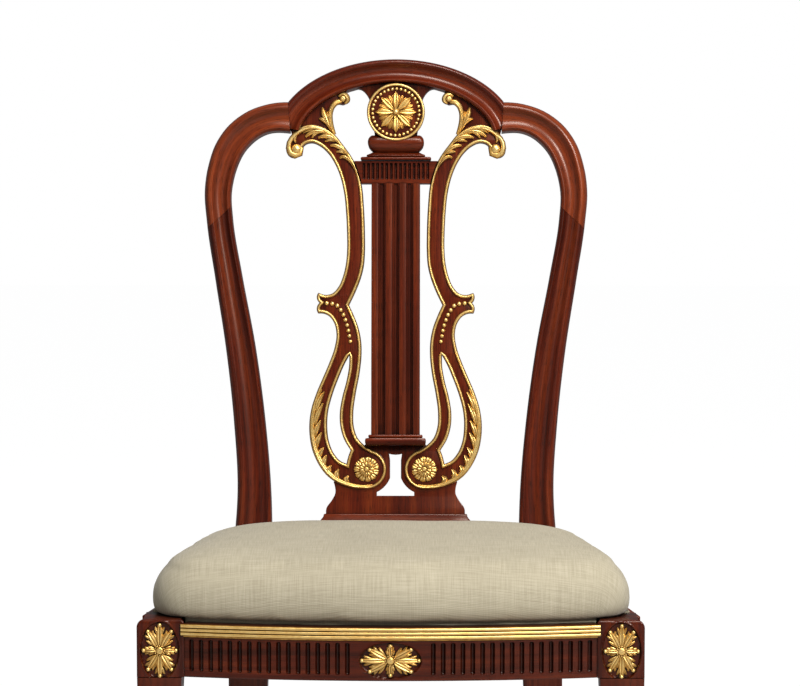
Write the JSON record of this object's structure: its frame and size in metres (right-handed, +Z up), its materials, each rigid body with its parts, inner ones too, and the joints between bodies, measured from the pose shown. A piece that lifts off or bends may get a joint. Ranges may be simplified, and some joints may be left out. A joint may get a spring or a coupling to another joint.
{
  "type": "lyre back dining chair",
  "caption": "Mahogany dining chair with a moulded arched back, a parcel-gilt lyre splat, a fluted bow-fronted seat rail and a lift-out upholstered seat.",
  "frame": {"origin": "on the floor under the middle of the chair's overall box", "axes": "+X to the right as seen from in front, -Y towards the front, +Z up"},
  "size_m": [0.558, 0.5821, 1.0277],
  "materials": {
    "mahogany": "polished, reddish brown",
    "gilding": "antiqued gold leaf on carved wood",
    "beech": "bare secondary timber",
    "webbing": "woven jute",
    "hessian": "coarse cloth",
    "stuffing": "hair and cotton felt",
    "seat_fabric": "plain linen weave",
    "dust_cloth": "black cotton"
  },
  "bodies": {
    "chair_frame": {"crest_arch": "mahogany", "crest_tablet": "mahogany", "splat_shoe": "mahogany", "splat_base": "mahogany", "lyre_column": "mahogany", "column_base": "mahogany", "column_frieze": "mahogany", "column_cap": "mahogany", "column_neck": "mahogany", "roundel_disc": "mahogany", "front_rail": "mahogany", "rear_rail": "mahogany", "rear_post_left": "mahogany", "rear_post_right": "mahogany", "crest_shoulder_left": "mahogany", "crest_shoulder_right": "mahogany", "lyre_arm_left": "mahogany", "lyre_arm_right": "mahogany", "front_leg_left": "mahogany", "front_leg_right": "mahogany", "side_rail_left": "mahogany", "side_rail_right": "mahogany", "roundel_ring": "gilding", "roundel_beads": "gilding", "roundel_flower": "gilding", "front_rail_moulding": "gilding", "rail_patera": "gilding", "lyre_fillet_left": "gilding", "lyre_fillet_right": "gilding", "lyre_pearls_left": "gilding", "lyre_pearls_right": "gilding", "lyre_leaf_left": "gilding", "lyre_leaf_right": "gilding", "volute_rosette_left": "gilding", "volute_rosette_right": "gilding", "leg_patera_left": "gilding", "leg_patera_right": "gilding", "crest_tongues": "beech", "rear_seat_ledge": "beech", "corner_block_front_left": "beech", "corner_block_front_right": "beech", "corner_block_rear_left": "beech", "corner_block_rear_right": "beech"},
    "drop_in_seat": {"seat_batten_front": "beech", "seat_batten_back": "beech", "seat_batten_left": "beech", "seat_batten_right": "beech", "seat_webbing": "webbing", "seat_hessian": "hessian", "seat_pad": "stuffing", "seat_cover": "seat_fabric", "seat_dust_cover": "dust_cloth"}
  },
  "joints": [
    {"name": "seat_lift", "type": "slide", "parent": "chair_frame", "child": "drop_in_seat", "axis": [0, 0, 1], "range_m": [0, 0.12]}
  ]
}
